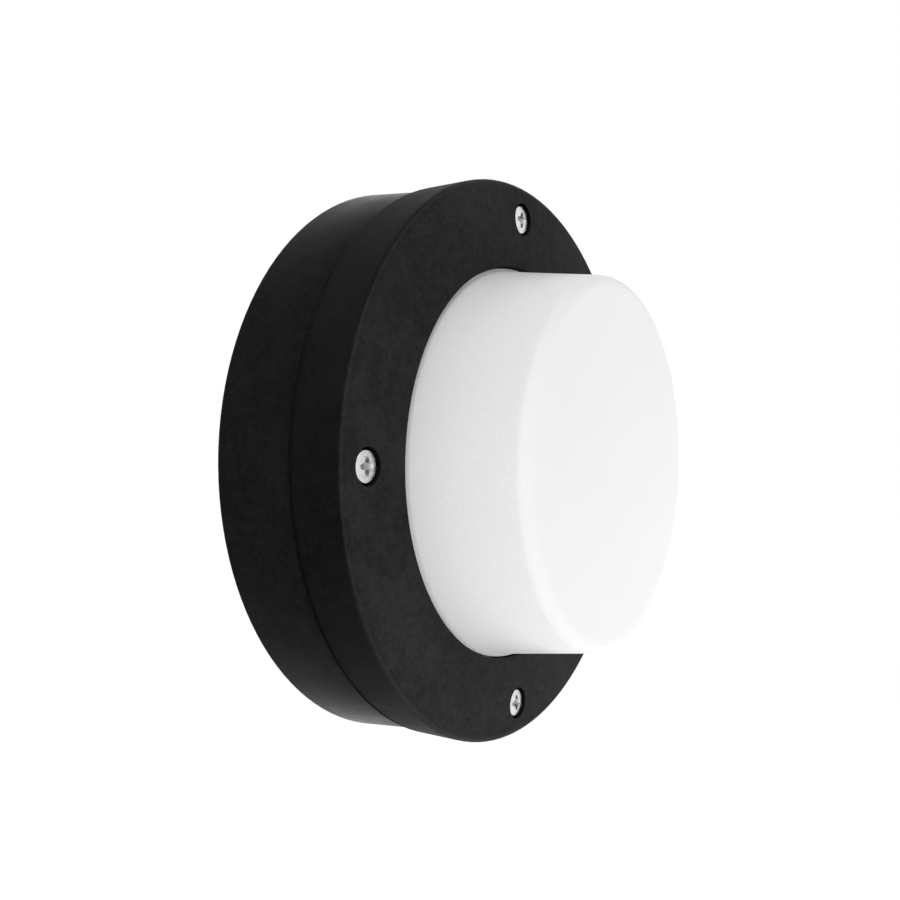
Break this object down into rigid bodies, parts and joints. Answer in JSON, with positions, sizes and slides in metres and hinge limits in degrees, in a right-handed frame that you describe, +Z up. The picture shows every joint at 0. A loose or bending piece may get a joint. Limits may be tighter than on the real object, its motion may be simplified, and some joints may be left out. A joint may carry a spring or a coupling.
{
  "type": "bulkhead light",
  "caption": "Round bulkhead wall light: black moulded base and bezel clamping an opal drum lens, with sealed LED gear inside and a cable entry in the back.",
  "frame": {"origin": "middle of the back, on the wall plane, at the centre of the circle of wall-fixing holes", "axes": "+Y into the wall, the light faces -Y, +Z up the wall, +X to the right as seen from the front"},
  "size_m": [0.1722, 0.0732, 0.1722],
  "materials": {
    "black_plastic": "matte",
    "opal_plastic": "satin",
    "seal_rubber": "matte",
    "black_rubber": "matte",
    "zinc_steel": "satin",
    "white_enamel": "satin",
    "board_white": "matte",
    "phosphor": "satin",
    "white_nylon": "matte",
    "driver_plastic": "matte",
    "brass": "satin",
    "brown_pvc": "satin",
    "blue_pvc": "satin",
    "green_pvc": "satin",
    "red_pvc": "satin",
    "black_pvc": "satin"
  },
  "bodies": {
    "root": {"base": "black_plastic", "bezel": "black_plastic", "lens": "opal_plastic", "seal_ring": "seal_rubber", "bezel_screws": "zinc_steel", "cable_grommet": "black_rubber", "gear_tray": "white_enamel", "tray_screws": "zinc_steel", "led_board": "board_white", "led_chips": "phosphor", "board_screws": "zinc_steel", "board_connector": "white_nylon", "led_driver": "driver_plastic", "driver_screws": "zinc_steel", "terminal_block": "white_nylon", "terminal_tubes": "brass", "clamp_screws": "zinc_steel", "terminal_fixing_screws": "zinc_steel", "earth_screw": "brass", "earth_nut": "brass", "earth_tag": "brass", "live_wire": "brown_pvc", "neutral_wire": "blue_pvc", "earth_wire": "green_pvc", "led_lead_positive": "red_pvc", "led_lead_negative": "black_pvc"}
  },
  "joints": []
}
